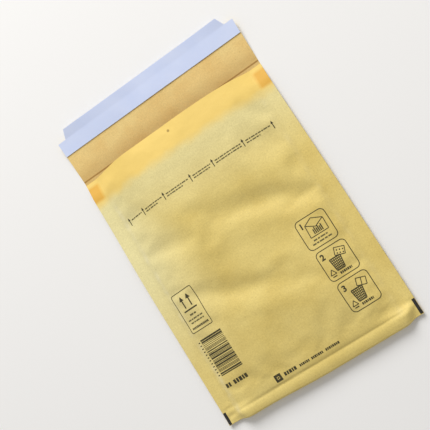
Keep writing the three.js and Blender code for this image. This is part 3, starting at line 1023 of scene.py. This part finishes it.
class ENVELOPE_OT_release_strip(bpy.types.Operator):
    """Cover the adhesive with release paper that ends in a finger tongue"""

    bl_idname = "envelope.release_strip"
    bl_label = "Release Strip"

    # Sides of a face across and along the strip, and heights of the tongue's curl and of the strip's ripples
    CELL = (1.25 * MM, 0.75 * MM)
    CURL = 0.6 * MM
    RIPPLE = 0.15 * MM

    def execute(self, context):
        paper, strip = context.scene.envelope_paper, context.scene.envelope_strip
        pouch = Pouch(paper)
        reach = strip.cover + strip.tongue
        across, along = even(paper.width, self.CELL[0]) - pouch.half, even(reach, self.CELL[1])
        piece = flat_sheet("release_strip", across, along)
        root = pouch.half - strip.notch
        self.punch(piece, strip.cover, root)
        flat = read_points(piece.data)
        x, along = flat[:, 0], flat[:, 1]
        past = np.clip((along - strip.cover) / strip.tongue, 0, 1)
        x = x * (1 - past * strip.slant / root)
        top = paper.thickness + 2 * strip.gap + strip.adhesive + strip.release
        points = PaperSurface(pouch).at(x, strip.cover - along, np.full_like(x, top))
        points[:, 2] += self.CURL * past * (1 + waves(x, along, size=38 * MM, seed=6.2))
        points[:, 2] += self.RIPPLE * (1 + waves(x, along, size=16 * MM, seed=1.4))
        make_layer(piece, points, release_paper(strip), strip.release)
        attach(piece, BODY)
        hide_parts("release_liner")
        return {"FINISHED"}

    def punch(self, piece, cover, root):
        """Deletes the ends of the tongue."""
        bpy.ops.object.mode_set(mode="EDIT")
        bpy.ops.mesh.select_mode(type="FACE")
        bpy.ops.mesh.select_all(action="DESELECT")
        bpy.ops.object.mode_set(mode="OBJECT")
        for face in piece.data.polygons:
            face.select = abs(face.center.x) > root and face.center.y > cover
        bpy.ops.object.mode_set(mode="EDIT")
        bpy.ops.mesh.delete(type="FACE")
        bpy.ops.mesh.select_mode(type="VERT")
        bpy.ops.object.mode_set(mode="OBJECT")


class ENVELOPE_OT_arrow_row(bpy.types.Operator):
    """Print the row of arrows under the mouth"""

    bl_idname = "envelope.arrow_row"
    bl_label = "Arrow Row"

    STOPS = (-66.7, -51, -29.5, -4.5, 15.8, 42.7, 67.6)
    FOOT = 174
    TIP = 180.6
    NECK = 179.1
    HALF_SHAFT = 0.32
    HEAD_WIDTH = 2.1
    HEAD_HEIGHT = 2.4
    # Two lines of type between arrows: margins, type, heights, and lower lines in shares of the upper ones
    MARGINS = (2.2, 2.0)
    TYPE = 0.9
    UPPER, LOWER = 177.7, 175.7
    SHARES = (0, 0.7, 0.72, 0.97, 1, 0.55)

    def execute(self, context):
        work = InkWork("print_arrow_row", line_ink())
        for x in self.STOPS:
            work.bar(x - self.HALF_SHAFT, self.FOOT, x + self.HALF_SHAFT, self.NECK)
            work.arrow_head(x, self.TIP, self.HEAD_WIDTH, self.HEAD_HEIGHT)
        for here, after, share in zip(self.STOPS, self.STOPS[1:], self.SHARES):
            left, right = here + self.MARGINS[0], after - self.MARGINS[1]
            work.words(left, right, self.UPPER, self.TYPE)
            work.words(left, lerp(left, right, share), self.LOWER, self.TYPE)
        work.lay()
        return {"FINISHED"}


class ENVELOPE_OT_label_box(bpy.types.Operator):
    """Print the upright box with two upright arrows and plain lines"""

    bl_idname = "envelope.label_box"
    bl_label = "Label Box"

    LEFT, BOTTOM, RIGHT, TOP = -71, 77.7, -50, 111
    CORNER = 1.6
    # Arrows: places beside the middle, half width and ends of the shaft, tip, width and height of the head
    ARROWS = (-3.2, 3.2)
    HALF_SHAFT = 0.55
    SHAFT = (97.2, 104.5)
    HEAD = (107.4, 4.2, 3.8)
    # Half width, foot and top of the line under the arrows
    GROUND = (6.5, 94.6, 95.7)
    # Lines of small type and of bold type, each by half its length, its height and its type
    LINES = ((3.4, 91.2, 1.3), (7.5, 87.8, 1.0), (6.5, 85.2, 1.0))
    BOLD_LINE = (8, 81, 1.6)

    def execute(self, context):
        work = InkWork("print_label_box", line_ink())
        work.rounded_frame(self.LEFT, self.BOTTOM, self.RIGHT, self.TOP, self.CORNER, work.line)
        middle = (self.LEFT + self.RIGHT) / 2
        for aside in self.ARROWS:
            x = middle + aside
            work.bar(x - self.HALF_SHAFT, self.SHAFT[0], x + self.HALF_SHAFT, self.SHAFT[1])
            work.arrow_head(x, *self.HEAD)
        half, foot, top = self.GROUND
        work.bar(middle - half, foot, middle + half, top)
        for half, y, height in self.LINES:
            work.words(middle - half, middle + half, y, height)
        half, y, height = self.BOLD_LINE
        work.letters(middle - half, middle + half, y, height)
        work.lay()
        return {"FINISHED"}


class ENVELOPE_OT_bar_block(bpy.types.Operator):
    """Print the block of bars with the bold dashes under it"""

    bl_idname = "envelope.bar_block"
    bl_label = "Bar Block"

    LEFT, RIGHT = -68.5, -48
    BOTTOM, TOP = 39.5, 71.5
    MODULE = 0.42
    # Bars and gaps to draw from, in modules, and the seed of the draws
    SEED = 7
    BARS = (1, 1, 2, 3)
    GAPS = (1, 1, 2)
    # Dashes beside the bars: count, pitch, first one above the bottom, ends left of the bars, and height
    DASHES = 12
    DASH_PITCH = 2.6
    FIRST_DASH = 1
    DASH_SPAN = (2.6, 1.0)
    DASH = 0.8
    # Bold type under the bars: ends of its words, height of its line and type
    BOLD_WORDS = ((-70, -64.6), (-62.4, -48.6))
    BOLD_Y = 31.2
    BOLD_TYPE = 3.4

    def execute(self, context):
        draw = random.Random(self.SEED)
        work = InkWork("print_bar_block", line_ink())
        y = self.BOTTOM
        while y < self.TOP:
            bar = self.MODULE * draw.choice(self.BARS)
            work.bar(self.LEFT, y, self.RIGHT, min(y + bar, self.TOP))
            y += bar + self.MODULE * draw.choice(self.GAPS)
        left, right = (self.LEFT - reach for reach in self.DASH_SPAN)
        for index in range(self.DASHES):
            y = self.BOTTOM + self.FIRST_DASH + index * self.DASH_PITCH
            work.bar(left, y, right, y + self.DASH)
        for left, right in self.BOLD_WORDS:
            work.letters(left, right, self.BOLD_Y, self.BOLD_TYPE)
        work.lay()
        return {"FINISHED"}


class ENVELOPE_OT_foot_line(bpy.types.Operator):
    """Print the small square and the line of dashes above the crease"""

    bl_idname = "envelope.foot_line"
    bl_label = "Foot Line"

    # Square: left, bottom, right and top, corner and line, and its dot by place and radius
    SQUARE = (-33.6, 14, -28, 19.8)
    CORNER = 0.3
    LINE = 1.8
    DOT = (-30.8, 16.9, 0.7)
    # Words by their ends, the height of their line and their type
    WORDS = (
        (-25.4, -14.6, 16.9, 2.8),
        (-12, -3.6, 16.7, 1.9),
        (-1.6, 8.8, 16.7, 1.9),
        (10.8, 23, 16.7, 1.9),
    )

    def execute(self, context):
        work = InkWork("print_foot_line", line_ink())
        work.rounded_frame(*self.SQUARE, self.CORNER, self.LINE)
        work.dot(*self.DOT)
        for word in self.WORDS:
            work.letters(*word)
        work.lay()
        return {"FINISHED"}


class ENVELOPE_OT_step_boxes(bpy.types.Operator):
    """Print the three numbered boxes for opening the envelope and sorting its film and paper"""

    bl_idname = "envelope.step_boxes"
    bl_label = "Step Boxes"

    SIDE = 22.5
    SCALE = 1.09
    ORIGINS = ((41, 82), (42, 55), (43, 28))
    CORNER = 3.4
    # Digit: left, foot and height
    DIGIT = (2.4, 15.9, 4)
    # Open envelope: outline, mouth, and lining by count, left, pitch, foot, top and width of its strokes
    ENVELOPE = ((5.5, 8), (6, 17), (12, 20), (19, 16.5), (18.8, 8), (5.5, 8))
    MOUTH = ((6, 17), (12.2, 13.4), (19, 16.5))
    LINING = 6
    LINING_LEFT, LINING_PITCH = 9.4, 1.2
    LINING_FOOT, LINING_TOP = 9, 12.6
    BOLD_LINE = 0.8
    # Lines of type by their ends, height and type
    ENVELOPE_LINES = ((6, 16.5, 5.6, 1), (4, 18.5, 3.3, 1))
    BASKET_LINE = (8.4, 17, 3.1, 1.7)
    # Basket: heights, middle, half widths at foot and rim, lattice, and the triangle and dash beside it
    BASKET_FOOT, BASKET_RIM, BASKET_MIDDLE = 5.4, 14, 10.6
    BASKET_HALF = (2.8, 4)
    LATTICE_LINE = 0.55
    LATTICE_ROWS = 6
    LATTICE_PITCH = (0.93, 1.33)
    TRIANGLE = ((2.2, 4.4), (6.4, 4.4), (4.3, 8), (2.2, 4.4))
    DASH = (2.8, 2.6, 5.8, 3.3)
    # Film: outline, and its bubbles by first place, steps over and up, and radius
    FILM = ((11.5, 14.8), (13.2, 19.8), (19.8, 17.4), (18, 12.6), (11.5, 14.8))
    BUBBLE = (13.6, 15.4)
    BUBBLE_OVER, BUBBLE_UP = (1.9, -0.65), (0.6, 2)
    BUBBLE_RADIUS = 0.5
    # Folded sheet: outline and fold
    SHEET = ((11.8, 15), (13.4, 19.8), (19.6, 17.6), (18.2, 12.8), (11.8, 15))
    SHEET_FOLD = ((16.5, 18.7), (15, 13.9))

    def execute(self, context):
        for number, origin in enumerate(self.ORIGINS, 1):
            work = InkWork(f"print_step_{number}", line_ink(), origin, self.SCALE)
            work.rounded_frame(0, 0, self.SIDE, self.SIDE, self.CORNER, work.line)
            work.digit(str(number), *self.DIGIT)
            if number == 1:
                self.open_envelope(work)
            else:
                self.basket(work)
            if number == 2:
                self.film(work)
            if number == 3:
                work.strokes(self.SHEET)
                work.strokes(self.SHEET_FOLD)
            work.lay()
        return {"FINISHED"}

    def open_envelope(self, work):
        """Envelope with its lining showing."""
        work.strokes(self.ENVELOPE)
        work.strokes(self.MOUTH)
        for step in range(self.LINING):
            x = self.LINING_LEFT + step * self.LINING_PITCH
            work.stroke((x, self.LINING_FOOT), (x, self.LINING_TOP + step % 2), self.BOLD_LINE)
        for row in self.ENVELOPE_LINES:
            work.words(*row)

    def basket(self, work):
        """Open basket with a lattice, a bold line of type under it, and a plain triangle beside it."""
        foot, rim, middle = self.BASKET_FOOT, self.BASKET_RIM, self.BASKET_MIDDLE
        low, high = self.BASKET_HALF
        sides = [(middle - high, rim), (middle - low, foot), (middle + low, foot), (middle + high, rim)]
        work.strokes(sides + sides[:1], self.BOLD_LINE)
        low_pitch, high_pitch = self.LATTICE_PITCH
        for step in (-2, -1, 0, 1, 2):
            upper, lower = middle + step * high_pitch, middle + step * low_pitch
            work.stroke((upper, rim), (lower, foot), self.LATTICE_LINE)
        for step in range(1, self.LATTICE_ROWS):
            y = lerp(foot, rim, step / self.LATTICE_ROWS)
            reach = lerp(low, high, step / self.LATTICE_ROWS)
            work.stroke((middle - reach, y), (middle + reach, y), self.LATTICE_LINE)
        work.letters(*self.BASKET_LINE)
        work.strokes(self.TRIANGLE)
        work.bar(*self.DASH)

    def film(self, work):
        """Sheet of bubble film on its way into the basket."""
        work.strokes(self.FILM)
        for over in range(3):
            for up in range(2):
                place = Vector(self.BUBBLE) + over * Vector(self.BUBBLE_OVER) + up * Vector(self.BUBBLE_UP)
                work.dot(*place, self.BUBBLE_RADIUS)


class ENVELOPE_OT_edge_marks(bpy.types.Operator):
    """Print the black marks at the bottom corners"""

    bl_idname = "envelope.edge_marks"
    bl_label = "Edge Marks"

    WIDTH = 2.4
    INSET = 0.1
    LEFT_SPAN = (4.7, 14.8)
    RIGHT_SPAN = (3.2, 15.6)

    def execute(self, context):
        settings = context.scene.envelope_print
        edge = context.scene.envelope_paper.width / MM / 2 - self.INSET
        work = InkWork("print_edge_marks", printing_ink("edge_mark_ink", settings.edge_black, settings.ink))
        work.bar(-edge, self.LEFT_SPAN[0], self.WIDTH - edge, self.LEFT_SPAN[1])
        work.bar(edge - self.WIDTH, self.RIGHT_SPAN[0], edge, self.RIGHT_SPAN[1])
        work.lay()
        return {"FINISHED"}


class ENVELOPE_OT_stage(bpy.types.Operator):
    """Set up the floor, the soft light and the camera"""

    bl_idname = "envelope.stage"
    bl_label = "Stage"

    def execute(self, context):
        stage = context.scene.envelope_stage
        context.scene.view_settings.view_transform = "Standard"
        self.floor(stage)
        self.light(stage)
        self.camera(context.scene, stage)
        return {"FINISHED"}

    def floor(self, stage):
        bpy.ops.object.select_all(action="DESELECT")
        bpy.ops.mesh.primitive_plane_add(size=stage.floor_size)
        floor = bpy.context.object
        floor.name = floor.data.name = "floor"
        floor.data.materials.append(matt_floor(stage))

    def light(self, stage):
        world = bpy.data.worlds.new("soft_room")
        world.use_nodes = True
        light = world.node_tree.nodes["Background"].inputs
        light["Color"].default_value = linear("#ffffff")
        light["Strength"].default_value = stage.fill
        bpy.context.scene.world = world
        bpy.ops.object.light_add(type="AREA", location=stage.key_place)
        key = bpy.context.object
        key.name = key.data.name = "softbox"
        key.data.shape = "DISK"
        key.data.size = stage.key_size
        key.data.energy = stage.key_power
        key.rotation_euler = (-key.location).to_track_quat("-Z", "Y").to_euler()

    def camera(self, scene, stage):
        bpy.ops.object.camera_add(location=stage.eye)
        camera = bpy.context.object
        camera.name = camera.data.name = "camera"
        back = (Vector(stage.eye) - Vector(stage.aim)).normalized()
        up = Vector((math.sin(stage.heading), math.cos(stage.heading), 0))
        right = up.cross(back).normalized()
        camera.rotation_euler = Matrix((right, back.cross(right), back)).transposed().to_euler()
        camera.data.sensor_width = 36
        camera.data.lens = stage.lens
        scene.camera = camera


GROUPS = {
    "envelope_paper": PaperSettings,
    "envelope_film": FilmSettings,
    "envelope_strip": StripSettings,
    "envelope_print": PrintSettings,
    "envelope_stage": StageSettings,
}
OPERATORS = (
    ENVELOPE_OT_kraft_paper,
    ENVELOPE_OT_bubble_film,
    ENVELOPE_OT_self_seal_strip,
    ENVELOPE_OT_release_strip,
    ENVELOPE_OT_arrow_row,
    ENVELOPE_OT_label_box,
    ENVELOPE_OT_bar_block,
    ENVELOPE_OT_foot_line,
    ENVELOPE_OT_step_boxes,
    ENVELOPE_OT_edge_marks,
    ENVELOPE_OT_stage,
)


class ENVELOPE_PT_sidebar(bpy.types.Panel):
    """Lists the pieces of the envelope in the order in which they are made"""

    bl_idname = "ENVELOPE_PT_sidebar"
    bl_label = "Padded Envelope"
    bl_space_type = "VIEW_3D"
    bl_region_type = "UI"
    bl_category = "Envelope"

    def draw(self, context):
        for operator in OPERATORS:
            self.layout.operator(operator.bl_idname)


def register():
    for name, group in GROUPS.items():
        bpy.utils.register_class(group)
        setattr(bpy.types.Scene, name, PointerProperty(type=group))
    for operator in OPERATORS:
        bpy.utils.register_class(operator)
    bpy.utils.register_class(ENVELOPE_PT_sidebar)


def unregister():
    bpy.utils.unregister_class(ENVELOPE_PT_sidebar)
    for operator in reversed(OPERATORS):
        bpy.utils.unregister_class(operator)
    for name, group in reversed(GROUPS.items()):
        delattr(bpy.types.Scene, name)
        bpy.utils.unregister_class(group)


def main():
    register()
    bpy.ops.envelope.kraft_paper()
    bpy.ops.envelope.bubble_film()
    bpy.ops.envelope.self_seal_strip()
    bpy.ops.envelope.release_strip()
    bpy.ops.envelope.arrow_row()
    bpy.ops.envelope.label_box()
    bpy.ops.envelope.bar_block()
    bpy.ops.envelope.foot_line()
    bpy.ops.envelope.step_boxes()
    bpy.ops.envelope.edge_marks()
    bpy.ops.envelope.stage()


if __name__ == "__main__":
    main()
